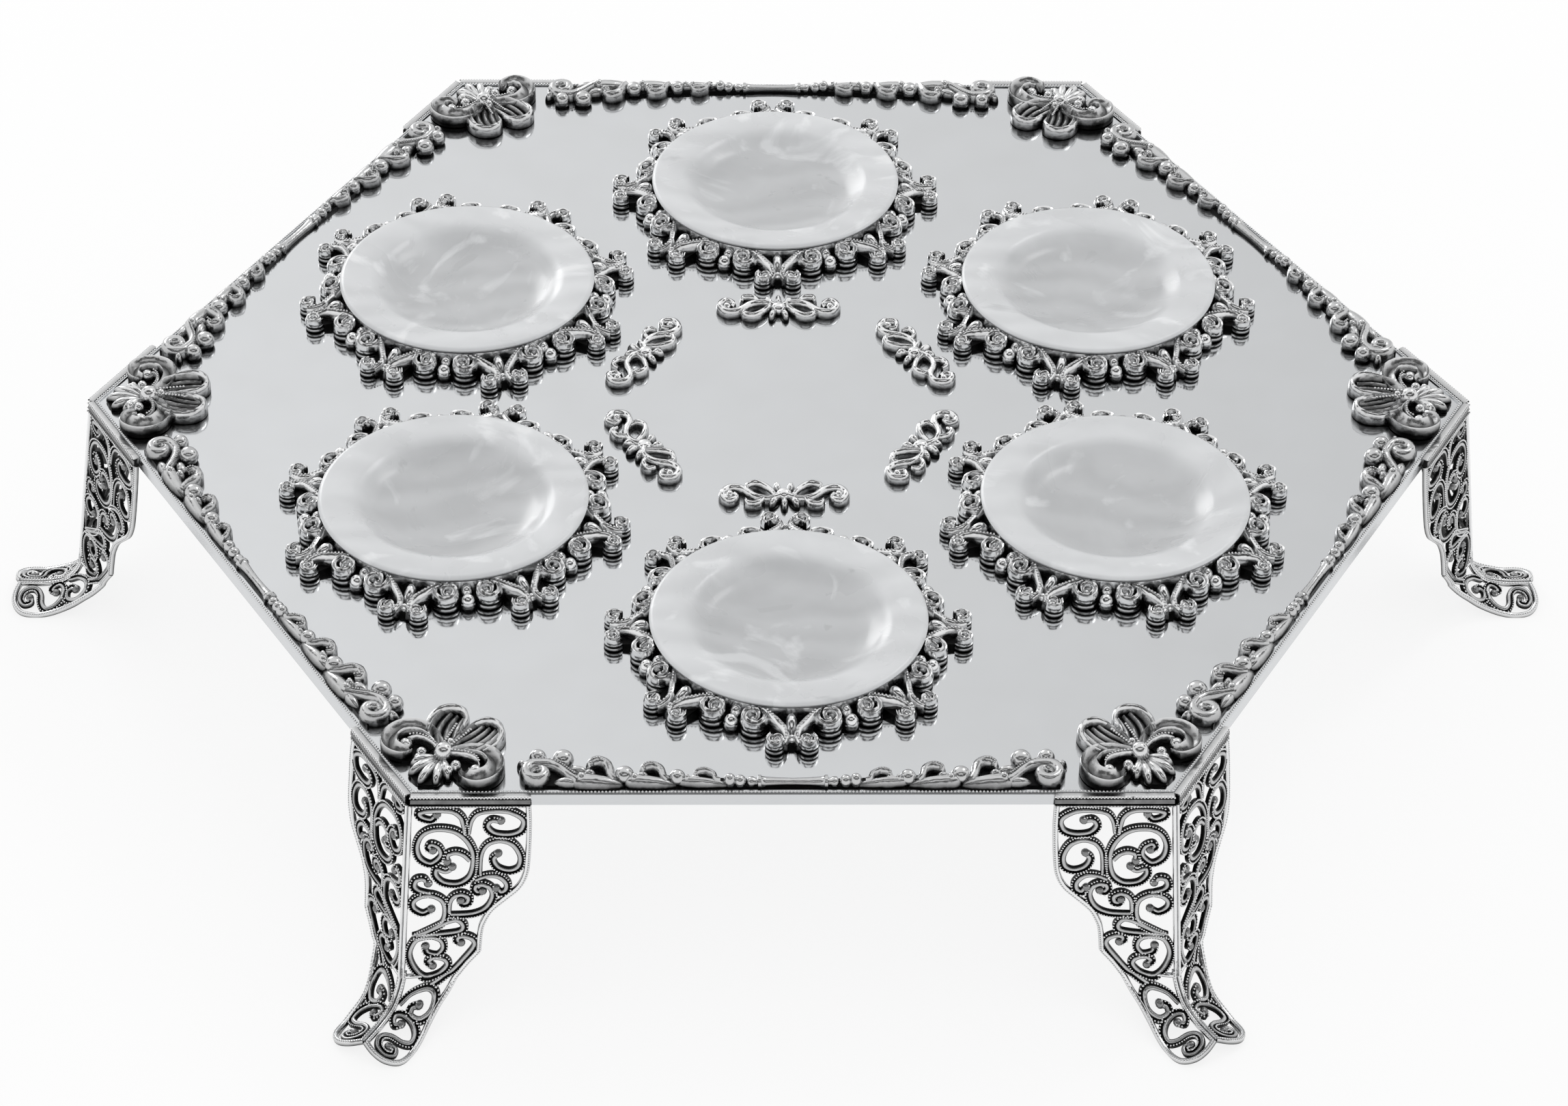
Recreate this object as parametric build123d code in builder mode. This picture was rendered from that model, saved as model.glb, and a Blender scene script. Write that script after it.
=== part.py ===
"""Seder plate: a hexagonal silver tray on six pierced legs, with six loose onyx dishes.

The origin is on the table under the middle of the tray, and +Z points up. Corner 1 of the hexagon is on +X.
"""
import os
from math import cos, hypot, radians, sin, tan

from build123d import *

os.makedirs("parts", exist_ok=True)

# Tray, in millimetres
side = 210.0  # side of the hexagon, which is also its corner radius
plate_top = 75.0  # height of the mirror face above the table
plate_thk = 1.6
rim_thk = 1.4
rim_height = 4.2
rim_lip = 0.4  # how far the rim stands above the mirror face
rim_bevel = 0.5

# Leg panels, measured along the tray's edge and down the panel's slope
panel_width = 33.0
panel_thk = 1.3
panel_lean = 6.5  # degrees, outwards
rail_height = 3.6
rail_thk = 1.9
shoulder_drop = 14.0  # where the free edge starts to draw in
knee_width = 27.2
knee_rise = 28.8  # this rise and the next two are measured up the slope from the ankle
waist_width = 18.6
waist_rise = 16.4
cusp_width = 18.0
cusp_rise = 9.4
ankle_width = 10.0
ankle_height = 13.4  # height above the table where the flat panel ends and the toe starts
hip_bulge = 2.2
waist_bulge = 1.6
post_width = 1.0  # on each side of the seam
post_thk = 0.6

# Toes: the ridge between the two lobes of a leg, measured from the tray's corner, and each lobe
toe_reach = 31.0
toe_notch = 29.0  # where the two lobes part
toe_flank = 24.0  # where each lobe starts to round off
toe_half_width = 13.0
toe_ridge_height = 4.4
toe_bend_reach = 14.2  # where the bend ends and the ridge runs level
toe_bend_height = 5.6
toe_bend_sag = 0.6
toe_window_radius = 3.0
toe_window_sides = 6
toe_window_reaches = (18.0, 25.2)
sole_cut = 0.5  # how much of each lobe's edge is filed flat to stand on

# Dishes and their rings
ring_margin = 15.0  # from a ring's fleurs to the edge of the tray
dish_radius = 40.0
dish_height = 8.2
dish_edge_height = 6.2  # underside of the rim at its outer edge
dish_rim_width = 10.4
dish_rim_slope = 0.5
well_radius = 24.0
well_depth = 5.6
foot_radius = 32.0
foot_height = 3.7
ring_clearance = 0.5  # round the foot, and under the rim
fleur_count = 8
fleur_out = 13.8  # how far the ball tips of a fleur reach past the rim of the dish
volute_out = 7.2
fleur_outline = [  # degrees from the fleur's middle, and how far past the rim of the dish
    (-22.5, 3.6),
    (-17.5, volute_out),
    (-11.5, volute_out),
    (-8.6, 4.6),
    (-5.2, fleur_out),
    (0.0, 10.6),
    (5.2, fleur_out),
    (8.6, 4.6),
    (11.5, volute_out),
    (17.5, volute_out),
]

# Castings on the tray
ornament_height = 2.6
ornament_taper = 20.0  # degrees
ornament_sides = 6
leaf_radius = 6.5
leaf_inset = 16.0  # from the tray's corner, towards the middle
leaf_offset = 11.0
fan_radius = 6.0
fan_inset = 25.6
fan_offset = 4.8
shell_radius = 5.6
shell_inset = 9.2
knot_radius = 3.4
knot_inset = 17.0
knot_height = 4.6
border_margin = 28.0  # from the tray's corner to the strip's end
border_height = 2.4
border_wide = 12.0
border_slim = 4.0
border_slim_length = 50.0
border_lobes = 3
border_bulge = 1.4
border_clearance = 0.2  # to the rim
baluster_radius = 1.7
baluster_length = 24.0
baluster_sides = 8
flourish_gap = 6.4  # to the ring's fleurs
flourish_spacing = 17.8  # how much shorter it is than the chord of its sector
flourish_width = 5.0
flourish_height = 3.6
flourish_knot_radius = 4.6
flourish_ball_radius = 2.0
flourish_sides = 6  # of its knot and its balls

# Corners of the filigree's openings, as shares of the panel's local width and of its length
filigree = [
    [(0.24, 0.10), (0.36, 0.10), (0.44, 0.135), (0.45, 0.19), (0.25, 0.158)],
    [(0.63, 0.10), (0.585, 0.16), (0.575, 0.237), (0.715, 0.221)],
    [(0.75, 0.172), (0.79, 0.135), (0.86, 0.14), (0.875, 0.172), (0.82, 0.19)],
    [(0.155, 0.26), (0.23, 0.212), (0.41, 0.218), (0.515, 0.28), (0.33, 0.308)],
    [(0.375, 0.352), (0.545, 0.36), (0.515, 0.43), (0.335, 0.465)],
    [(0.70, 0.404), (0.665, 0.34), (0.725, 0.279), (0.915, 0.335), (0.85, 0.40)],
    [(0.19, 0.506), (0.425, 0.52), (0.34, 0.556)],
    [(0.155, 0.60), (0.30, 0.58), (0.425, 0.631), (0.16, 0.744), (0.095, 0.66)],
    [(0.44, 0.564), (0.80, 0.586), (0.515, 0.646)],
    [(0.76, 0.685), (0.84, 0.652), (0.91, 0.765)],
    [(0.40, 0.755), (0.60, 0.69), (0.68, 0.72), (0.655, 0.75)],
    [(0.14, 0.843), (0.415, 0.811), (0.43, 0.904), (0.645, 0.926), (0.385, 0.971)],
    [(0.59, 0.82), (0.875, 0.814), (0.745, 0.915)],
]

# Sizes that follow
sectors = 6
sector_angle = 360 / sectors
half_sector = radians(sector_angle / 2)
apothem = side * cos(half_sector)
plate_apothem = apothem - rim_thk
rail_top = plate_top + rim_lip
ring_reach = dish_radius + fleur_out
dish_pitch = apothem - ring_margin - ring_reach
lean = radians(panel_lean)
panel_flat = (rail_top - ankle_height) / cos(lean)
ridge_splay = tan(lean) / cos(half_sector)  # outward run of the seam for each millimetre of height
seam_lean = sin(lean) * tan(half_sector)  # sideways run of the seam for each millimetre of slope
edge_way = Vector(-sin(half_sector), cos(half_sector), 0)  # along the tray's edge, away from corner 1
edge_out = Vector(cos(half_sector), sin(half_sector), 0)
up = Vector(0, 0, 1)
free_edge = [
    (0, panel_width),
    (shoulder_drop, panel_width),
    (panel_flat - knee_rise, knee_width),
    (panel_flat - waist_rise, waist_width),
    (panel_flat - cusp_rise, cusp_width),
    (panel_flat, ankle_width),
]


def write_copies(piece, name, first_angle):
    """Write one copy of a piece for each sector of the tray."""
    for number in range(1, sectors + 1):
        copy = piece.rotate(Axis.Z, first_angle + sector_angle * (number - 1))
        copy.label = name.format(number)
        export_step(copy, f"parts/{copy.label}.step")


def panel_spot(across, down):
    """Give the point of a leg panel at a share of its local width and of its length."""
    drop = down * panel_flat
    for (upper, wide), (lower, narrow) in zip(free_edge, free_edge[1:]):
        if drop <= lower:
            width = wide + (narrow - wide) * (drop - upper) / (lower - upper)
            break
    seam = -drop * seam_lean
    return seam + across * (width - seam), -drop


# Mirror-polished sheet
with BuildPart() as top_plate:
    with BuildSketch(Plane.XY.offset(plate_top - plate_thk)):
        RegularPolygon(plate_apothem, sectors, major_radius=False)
    extrude(amount=plate_thk)
top_plate.part.label = "top_plate"
export_step(top_plate.part, "parts/top_plate.step")

# Edge strip, mitred at both ends
with BuildPart() as rim_strip:
    with BuildSketch(Plane.XY.offset(rail_top - rim_height)):
        with BuildLine():
            Polyline(
                (plate_apothem, -plate_apothem * tan(half_sector)),
                (apothem, -apothem * tan(half_sector)),
                (apothem, apothem * tan(half_sector)),
                (plate_apothem, plate_apothem * tan(half_sector)),
                close=True,
            )
        make_face()
    extrude(amount=rim_height)
    chamfer(rim_strip.faces().sort_by(Axis.X)[-1].edges().sort_by(Axis.Z)[-1], rim_bevel)
write_copies(rim_strip.part, "rim_strip_{}", sector_angle / 2)

# Toe of the right-hand leg panel: a sheet that twists from the flat panel down to the table
ankle_out = (rail_top - ankle_height) * ridge_splay
lobe_fall = (toe_ridge_height + sole_cut) / toe_half_width
toe_stations = [  # reach and height of the ridge, then the way across the lobe
    (ankle_out, ankle_height, edge_way),
    (
        (ankle_out + toe_bend_reach) / 2 - toe_bend_sag,
        (ankle_height + toe_bend_height) / 2 - toe_bend_sag,
        edge_way * 2 + Vector(0, 1, -lobe_fall),
    ),
    (toe_bend_reach, toe_bend_height, edge_way + Vector(0, 2, -2 * lobe_fall)),
    ((toe_bend_reach + toe_notch) / 2, toe_ridge_height, Vector(0, 1, -lobe_fall)),
    (toe_reach + panel_thk, toe_ridge_height, Vector(0, 1, -lobe_fall)),
]
toe_sheet_width = toe_half_width + ankle_width
toe_sheet_start = 2 * panel_thk  # spare sheet past the seam, trimmed off with the panel
with BuildPart() as toe:
    for index, (reach, height, across) in enumerate(toe_stations):
        before = toe_stations[max(index - 1, 0)]
        after = toe_stations[min(index + 1, len(toe_stations) - 1)]
        along = Vector(after[0] - before[0], 0, after[1] - before[1])
        if index == 0:
            along = edge_out * sin(lean) - up * cos(lean)
        across = across.normalized()
        square_on = along - across * along.dot(across)
        with BuildSketch(Plane((side + reach, 0, height), x_dir=across, z_dir=square_on)):
            with Locations((toe_sheet_width / 2 - toe_sheet_start, panel_thk / 2)):
                Rectangle(toe_sheet_width, panel_thk)
    loft(ruled=True)
    with BuildSketch():
        with BuildLine():
            heel = Line((side - ankle_width, 0), (side - ankle_width, toe_half_width))
            flank = Line(heel @ 1, (side + toe_flank, toe_half_width))
            tip = ThreePointArc(flank @ 1, (side + toe_reach, toe_half_width / 2), (side + toe_notch, 0))
            Line(tip @ 1, heel @ 0)
        make_face()
    extrude(amount=plate_top, mode=Mode.INTERSECT)
    with BuildSketch():
        with Locations(*[(side + reach, toe_half_width / 2) for reach in toe_window_reaches]):
            RegularPolygon(toe_window_radius, toe_window_sides)
    extrude(amount=plate_top, mode=Mode.SUBTRACT)

# Right-hand leg panel: rail, pierced sheet and toe, cut off at the seam with its mirror image
panel_plane = Plane((side, 0, rail_top), x_dir=edge_way, z_dir=edge_out * cos(lean) + up * sin(lean))
with BuildPart() as right_panel:
    with BuildSketch(panel_plane):
        with BuildLine():
            head = Line((-ankle_width, -rail_height / 2), (panel_width, -rail_height / 2))
            shoulder = Line(head @ 1, (panel_width, -shoulder_drop))
            hip = SagittaArc(shoulder @ 1, (knee_width, knee_rise - panel_flat), -hip_bulge)
            waist = SagittaArc(hip @ 1, (waist_width, waist_rise - panel_flat), waist_bulge)
            cusp = Line(waist @ 1, (cusp_width, cusp_rise - panel_flat))
            Polyline(cusp @ 1, (ankle_width, -panel_flat), (-ankle_width, -panel_flat), head @ 0)
        make_face()
        for corners in filigree:
            with BuildLine():
                Polyline(*[panel_spot(across, down) for across, down in corners], close=True)
            make_face(mode=Mode.SUBTRACT)
    extrude(amount=panel_thk)
    with BuildSketch(Plane.XY.offset(rail_top - rail_height)):
        with BuildLine():
            corner = Vector(side, 0, 0)
            rail_far = corner + edge_way * panel_width
            Polyline(
                corner,
                corner + Vector(rail_thk / cos(half_sector), 0, 0),
                rail_far + edge_out * rail_thk,
                rail_far,
                close=True,
            )
        make_face()
    extrude(amount=rail_height)
    add(toe.part)
    split(bisect_by=Plane.XZ, keep=Keep.BOTTOM)
left_panel = mirror(right_panel.part, about=Plane.XZ)
write_copies(right_panel.part, "leg_{}_right_panel", 0)
write_copies(left_panel, "leg_{}_left_panel", 0)

# Plain post over the seam, lying on both panels
post_length = panel_flat * cos(lean) - rail_height
with BuildPart() as corner_post:
    with BuildSketch(Plane.XY.offset(rail_top - rail_height)):
        with BuildLine():
            seam_out = panel_thk / (cos(lean) * cos(half_sector)) + rail_height * ridge_splay
            seam = Vector(side + seam_out, 0, 0)
            inner = seam + edge_way * post_width
            outer = inner + edge_out * post_thk
            nose = seam + Vector(post_thk / cos(half_sector), 0, 0)
            Polyline(seam, inner, outer, nose, (outer.X, -outer.Y), (inner.X, -inner.Y), close=True)
        make_face()
    extrude(amount=post_length * hypot(1, ridge_splay), dir=Vector(ridge_splay, 0, -1).normalized())
write_copies(corner_post.part, "leg_{}_corner_post", 0)

# Onyx dish, turned, with a foot that stands inside the ring
rim_inner = dish_radius - dish_rim_width
lip_radius = dish_radius - dish_rim_slope
well_floor = dish_height - well_depth
with BuildPart() as dish:
    with BuildSketch(Plane((dish_pitch, 0, plate_top), x_dir=(1, 0, 0), z_dir=(0, -1, 0))):
        with BuildLine():
            Polyline(
                (0, 0),
                (foot_radius, 0),
                (foot_radius, foot_height),
                (lip_radius, dish_edge_height),
                (dish_radius, (dish_height + dish_edge_height) / 2),
                (lip_radius, dish_height),
                (rim_inner, dish_height - dish_rim_slope),
                (well_radius, well_floor),
                (0, well_floor),
                close=True,
            )
        make_face()
    revolve(axis=Axis((dish_pitch, 0, 0), (0, 0, 1)))
write_copies(dish.part, "dish_{}", sector_angle / 2)

# Cast ring: a band round the foot, with paired volutes and ball-tipped fleurs
with BuildPart() as scroll_ring:
    with BuildSketch(Plane((dish_pitch, 0, plate_top))):
        with BuildLine():
            outline = []
            for fleur in range(fleur_count):
                for angle, out in fleur_outline:
                    turn = radians(angle + fleur * 360 / fleur_count)
                    outline.append(((dish_radius + out) * cos(turn), (dish_radius + out) * sin(turn)))
            Polyline(*outline, close=True)
        make_face()
        Circle(foot_radius + ring_clearance, mode=Mode.SUBTRACT)
    extrude(amount=foot_height - ring_clearance)
write_copies(scroll_ring.part, "scroll_ring_{}", sector_angle / 2)

# Cast corner ornament: shell, two scroll leaves and a fan, with a knot where they meet
with BuildPart() as corner_ornament:
    for inset, offset, radius, height in (
        (shell_inset, 0, shell_radius, ornament_height),
        (leaf_inset, leaf_offset, leaf_radius, ornament_height),
        (leaf_inset, -leaf_offset, leaf_radius, ornament_height),
        (fan_inset, fan_offset, fan_radius, ornament_height),
        (fan_inset, -fan_offset, fan_radius, ornament_height),
        (knot_inset, 0, leaf_radius, ornament_height),
        (knot_inset, 0, knot_radius, knot_height),
    ):
        with BuildSketch(Plane.XY.offset(plate_top)):
            with Locations((side - inset, offset)):
                RegularPolygon(radius, ornament_sides)
        extrude(amount=height, taper=ornament_taper)
write_copies(corner_ornament.part, "corner_ornament_{}", 0)

# Cast border strip: scroll lobes that shrink from both ends to a slim baluster in the middle
border_base = plate_apothem - border_clearance
border_length = side - 2 * border_margin
lobe_length = (border_length - border_slim_length) / (2 * border_lobes)
lobe_growth = (border_wide - border_slim) / border_lobes
with BuildPart() as border_strip:
    with BuildSketch(Plane.XY.offset(plate_top)):
        with BuildLine():
            inner = Line((border_base - border_slim, 0), (border_base - border_slim, border_slim_length / 2))
            for step in range(border_lobes):
                lobe_end = inner @ 1 + Vector(-lobe_growth, lobe_length, 0)
                inner = SagittaArc(inner @ 1, lobe_end, border_bulge)
            Polyline(inner @ 1, (border_base, border_length / 2), (border_base, 0))
            mirror(about=Plane.XZ)
        make_face()
    extrude(amount=border_height)
    with BuildSketch(Plane.XZ.offset(-baluster_length / 2)):
        with Locations((border_base - border_slim / 2, plate_top + border_height)):
            RegularPolygon(baluster_radius, baluster_sides)
    extrude(amount=baluster_length)
write_copies(border_strip.part, "border_strip_{}", sector_angle / 2)

# Small raised leaf flourish beside each dish
flourish_pitch = dish_pitch - ring_reach - flourish_gap - flourish_knot_radius
flourish_length = 2 * flourish_pitch * tan(half_sector) - flourish_spacing
with BuildPart() as flourish:
    with BuildSketch(Plane.XY.offset(plate_top)):
        with BuildLine():
            tips = ((flourish_pitch, -flourish_length / 2), (flourish_pitch, flourish_length / 2))
            inner_side = (flourish_pitch - flourish_width / 2, 0)
            outer_side = (flourish_pitch + flourish_width / 2, 0)
            Polyline(tips[0], outer_side, tips[1], inner_side, close=True)
        make_face()
        with Locations((flourish_pitch, 0)):
            RegularPolygon(flourish_knot_radius, flourish_sides)
        with Locations(*tips):
            RegularPolygon(flourish_ball_radius, flourish_sides)
    extrude(amount=flourish_height)
write_copies(flourish.part, "flourish_{}", sector_angle / 2)
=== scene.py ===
# %% [markdown]
# Seder plate: a six-sided silver tray with a mirror top, six pierced legs and six loose onyx dishes. The
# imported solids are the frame: they fix every size and place. This lesson dresses them with the cast and
# pierced silverwork.

from bisect import bisect_right
from math import cos, pi, radians, sin, tan

import bmesh
import bpy
from mathutils import Matrix, Vector


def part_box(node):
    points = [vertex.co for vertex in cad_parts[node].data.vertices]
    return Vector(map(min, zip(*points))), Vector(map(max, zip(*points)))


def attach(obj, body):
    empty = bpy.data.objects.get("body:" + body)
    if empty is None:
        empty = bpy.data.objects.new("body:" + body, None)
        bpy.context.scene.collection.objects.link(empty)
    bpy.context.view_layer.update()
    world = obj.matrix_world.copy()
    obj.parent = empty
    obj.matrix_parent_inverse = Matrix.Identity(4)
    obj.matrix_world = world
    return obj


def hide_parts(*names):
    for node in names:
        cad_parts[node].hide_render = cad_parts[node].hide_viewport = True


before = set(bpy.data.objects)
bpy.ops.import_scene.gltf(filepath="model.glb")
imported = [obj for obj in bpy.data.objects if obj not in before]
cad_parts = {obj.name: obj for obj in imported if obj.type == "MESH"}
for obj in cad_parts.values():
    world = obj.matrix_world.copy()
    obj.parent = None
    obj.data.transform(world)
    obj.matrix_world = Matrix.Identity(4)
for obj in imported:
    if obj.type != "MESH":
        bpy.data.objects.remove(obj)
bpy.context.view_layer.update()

# %% [markdown]
# The pieces are drawn in millimetres round the tray's middle, as on a silversmith's bench drawing, and shrunk
# to metres when they are set out. A few sizes are read from the solids, so that the ornament sits exactly on
# them.

# %% Sizes
plate_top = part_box("top_plate")[1][2] * 1000
rail_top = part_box("rim_strip_1")[1][2] * 1000
edge_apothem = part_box("rim_strip_2")[1][1] * 1000
side = edge_apothem / cos(pi / 6)
dish_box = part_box("dish_2")
dish_pitch = (dish_box[0][1] + dish_box[1][1]) * 500
UP = Vector((0, 0, 1))
print(f"side {side:.1f} mm, plate top {plate_top:.1f} mm, dish circle {dish_pitch:.1f} mm")

# %% [markdown]
# Everything repeats six times. A piece is modelled once, at the corner or the edge that faces +X, and its
# mesh is then turned to the six places. Turning the mesh and not the object keeps every object at the origin.

# %% Setting out six copies
SHARP_ABOVE = radians(48)


def set_out(bench, names, first_angle, finish, body="stand", stands_for=()):
    """Turn one finished mesh to six places, as six pieces."""
    master = bpy.data.meshes.new("master")
    bench.to_mesh(master)
    bench.free()
    master.shade_smooth()
    master.set_sharp_from_angle(angle=SHARP_ABOVE)
    master.materials.append(finish)
    for number in range(1, 7):
        turned = master.copy()
        turn = Matrix.Rotation(radians(first_angle + 60 * (number - 1)), 4, "Z")
        turned.transform(turn @ Matrix.Scale(0.001, 4))
        piece = bpy.data.objects.new(names.format(number), turned)
        turned.name = piece.name
        bpy.context.collection.objects.link(piece)
        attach(piece, body.format(number))
        for node in stands_for:
            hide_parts(node.format(number))
    print(names.format("1..6"), len(master.polygons), "faces each")
    bpy.data.meshes.remove(master)


print("copies are set out every 60 degrees")

# %% [markdown]
# Shader sums are easier to read as Python sums, so one small class wraps a socket and turns an operator into
# a Math node. A second class holds a material's node tree and adds any other node.


# %% Shader helpers
class Amount:
    """A number that varies over a surface."""

    def __init__(self, tree, socket):
        self.tree = tree
        self.socket = socket

    def sum(self, operation, first, second):
        node = self.tree.nodes.new("ShaderNodeMath")
        node.operation = operation
        for socket, value in zip(node.inputs, (first, second)):
            if isinstance(value, Amount):
                self.tree.links.new(value.socket, socket)
            else:
                socket.default_value = value
        return Amount(self.tree, node.outputs[0])

    def __add__(self, other):
        return self.sum("ADD", self, other)

    def __sub__(self, other):
        return self.sum("SUBTRACT", self, other)

    def __mul__(self, other):
        return self.sum("MULTIPLY", self, other)

    def __pow__(self, other):
        return self.sum("POWER", self, other)

    def most(self, other):
        return self.sum("MAXIMUM", self, other)

    __radd__ = __add__


class Finish:
    """The node tree of a material or of the world."""

    def __init__(self, owner):
        owner.use_nodes = True
        self.owner = owner
        self.tree = owner.node_tree
        self.tree.nodes.clear()

    def node(self, kind, settings=None, sockets=None, output=0):
        made = self.tree.nodes.new(kind)
        for name, value in (settings or {}).items():
            setattr(made, name, value)
        for name, value in (sockets or {}).items():
            if isinstance(value, Amount):
                self.tree.links.new(value.socket, made.inputs[name])
            else:
                made.inputs[name].default_value = value
        return Amount(self.tree, made.outputs[output]) if made.outputs else None

    def place(self):
        return self.node("ShaderNodeTexCoord", output="Object")

    def noise(self, place, scale, detail, distortion=0.0):
        sockets = {"Vector": place, "Scale": scale, "Detail": detail, "Distortion": distortion}
        return self.node("ShaderNodeTexNoise", {}, sockets)

    def bump(self, height, strength, distance):
        sockets = {"Strength": strength, "Distance": distance, "Height": height}
        return self.node("ShaderNodeBump", {}, sockets)

    def ramp(self, amount, low, high):
        made = self.node("ShaderNodeValToRGB", {}, {"Fac": amount})
        for stop, (place, colour) in zip(made.socket.node.color_ramp.elements, (low, high)):
            stop.position = place
            stop.color = colour
        return made

    def seen(self):
        """Pick out the rays from the camera, from mirrors and through glass."""
        kinds = ("Is Camera Ray", "Is Glossy Ray", "Is Transmission Ray")
        eye, glint, through = [self.node("ShaderNodeLightPath", output=kind) for kind in kinds]
        return eye.most(glint).most(through)

    def surface(self, shader):
        self.node("ShaderNodeOutputMaterial", {}, {"Surface": shader})


def grey(level, tint=0.0):
    return (level - tint, level, level + tint, 1)


print("shader helpers ready")

# %% [markdown]
# The silver is polished on top and darkened in the hollows, which is what makes such castings readable. A
# real smith dips the piece in liver of sulphur and polishes the high places bright again. Here each vertex
# carries a number, from 0 on the high places to 1 in the hollows, and the shader mixes from bright to dark by
# it. The same number also carries painted shade: the low sides of balls, beads and leaves and the flat ground
# plates under the scrolls are painted dark, where shade falls.

# %% Silver finish
silver_finish = Finish(bpy.data.materials.new("darkened_silver"))
place = silver_finish.place()
patina_and_shade = silver_finish.node("ShaderNodeAttribute", {"attribute_name": "patina_and_shade"}, output="Fac")
tarnish = silver_finish.noise(place, 420.0, 4.0)
grain = silver_finish.noise(place, 1600.0, 2.0)
# darkness: patina in the hollows, plus painted shade on low sides and ground plates
darkness = (patina_and_shade * (0.75 + tarnish * 0.5)) ** 0.7
colour = silver_finish.ramp(darkness, (0.0, grey(0.84, 0.004)), (0.8, grey(0.01)))
lumps = silver_finish.noise(place, 480.0, 1.0)
relief = silver_finish.bump(lumps + grain * 0.08, 0.5, 0.0003)
polish = 0.13 + darkness * 0.2 + tarnish * 0.08
shine = silver_finish.node(
    "ShaderNodeBsdfPrincipled",
    {},
    {"Base Color": colour, "Metallic": 1.0, "Roughness": polish, "Normal": relief},
)
silver_finish.surface(shine)
silver = silver_finish.owner
print("made", silver.name)

# %% [markdown]
# The tray's top is a mirror. A perfect mirror looks like computer glass, so it has a very faint waviness and
# some uneven polish. The plain strips of the rim get the same sheet, with less polish.


# %% Sheet finishes
def sheet_silver(name, level, rough):
    """Make a finish for plain silver sheet."""
    finish = Finish(bpy.data.materials.new(name))
    place = finish.place()
    waves = finish.noise(place, 9.0, 1.0)
    wipes = finish.noise(place, 55.0, 5.0)
    tone = finish.ramp(wipes, (0.3, grey(level - 0.02, 0.012)), (0.7, grey(level, 0.014)))
    relief = finish.bump(waves, 0.02, 0.0002)
    shine = finish.node(
        "ShaderNodeBsdfPrincipled",
        {},
        {"Base Color": tone, "Metallic": 1.0, "Roughness": rough + wipes * 0.06, "Normal": relief},
    )
    finish.surface(shine)
    print("made", name)
    return finish.owner


mirror = sheet_silver("mirror_silver", 0.735, 0.07)
plain_silver = sheet_silver("plain_silver", 0.68, 0.16)

# %% [markdown]
# White onyx has soft clouds and layered bands, with a few thin veins. The bands come from a wave texture bent
# by noise, and because the pattern reads Object coordinates, each dish shows a different part of the same
# stone. The stone is also painted whiter with its height: painted light on the raised rim and painted shade
# on the floor of the well.

# %% Onyx finish
onyx_finish = Finish(bpy.data.materials.new("white_onyx"))
place = onyx_finish.place()
clouds = onyx_finish.noise(place, 34.0, 5.0, 1.2)
bands = onyx_finish.node(
    "ShaderNodeTexWave",
    {"bands_direction": "Y"},
    {"Vector": place, "Scale": 22.0, "Distortion": 14.0, "Detail": 4.0, "Detail Scale": 0.7},
)
veins = onyx_finish.noise(place, 30.0, 5.0, 2.4)
vein = onyx_finish.ramp(veins, (0.58, grey(0)), (0.7, grey(1)))
flaw = onyx_finish.ramp(veins, (0.27, grey(1)), (0.34, grey(0)))
height = onyx_finish.node("ShaderNodeSeparateXYZ", {}, {"Vector": place}, output="Z")
well_floor = (plate_top + 3.1) / 1000
# the height term is painted light on the rim and painted shade on the floor of the well
whiteness_and_painted_light = clouds * 0.3 + bands * 0.12 + vein * 0.34 - flaw * 0.3 + (height - well_floor) * 75
tone = onyx_finish.ramp(whiteness_and_painted_light, (0.1, grey(0.56, 0.01)), (0.9, grey(0.93, 0.014)))
shine = onyx_finish.node(
    "ShaderNodeBsdfPrincipled",
    {},
    {
        "Base Color": tone,
        "Roughness": 0.24 + clouds * 0.08,
        "Subsurface Weight": 0.5,
        "Subsurface Radius": (0.004, 0.004, 0.004),
        "Coat Weight": 0.14,
        "Coat Roughness": 0.07,
    },
)
onyx_finish.surface(shine)
onyx = onyx_finish.owner
print("made", onyx.name)

# %% [markdown]
# Most of the ornament is scrollwork: bars that curl in a plane and taper at their ends. A curve object with a
# bevel could do it, but extruding one cross-section from station to station keeps the patina-and-shade
# numbers on its vertices. The control points are few, and a smooth path is run through them. A cross-section
# lists its points as across, up and patina-and-shade number, the first two as shares of the bar's width and
# height.


# %% Scroll bars
def smooth_path(points, steps=5):
    """Run a smooth line through a few points."""
    path = []
    for index in range(len(points) - 1):
        start, end = points[index], points[index + 1]
        before = points[max(index - 1, 0)]
        after = points[min(index + 2, len(points) - 1)]
        for step in range(steps):
            t = step / steps
            bend = (end - before) * t + (2 * before - 5 * start + 4 * end - after) * t**2
            path.append(start + 0.5 * (bend + (3 * start - before - 3 * end + after) * t**3))
    path.append(points[-1])
    return path


def corners_in(geometry):
    return [item for item in geometry if isinstance(item, bmesh.types.BMVert)]


def gather(bench, small):
    """Move the mesh of a small bench to the main one."""
    mesh = bpy.data.meshes.new("part")
    bmesh.ops.recalc_face_normals(small, faces=small.faces)
    small.to_mesh(mesh)
    small.free()
    bench.from_mesh(mesh)
    bpy.data.meshes.remove(mesh)


ROUND_BAR = [(-0.5, 0, 0.7), (-0.5, 0.5, 0.15), (-0.3, 0.9, 0), (0, 1, 0), (0.3, 0.9, 0),
    (0.5, 0.5, 0.15), (0.5, 0, 0.7)]


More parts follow.
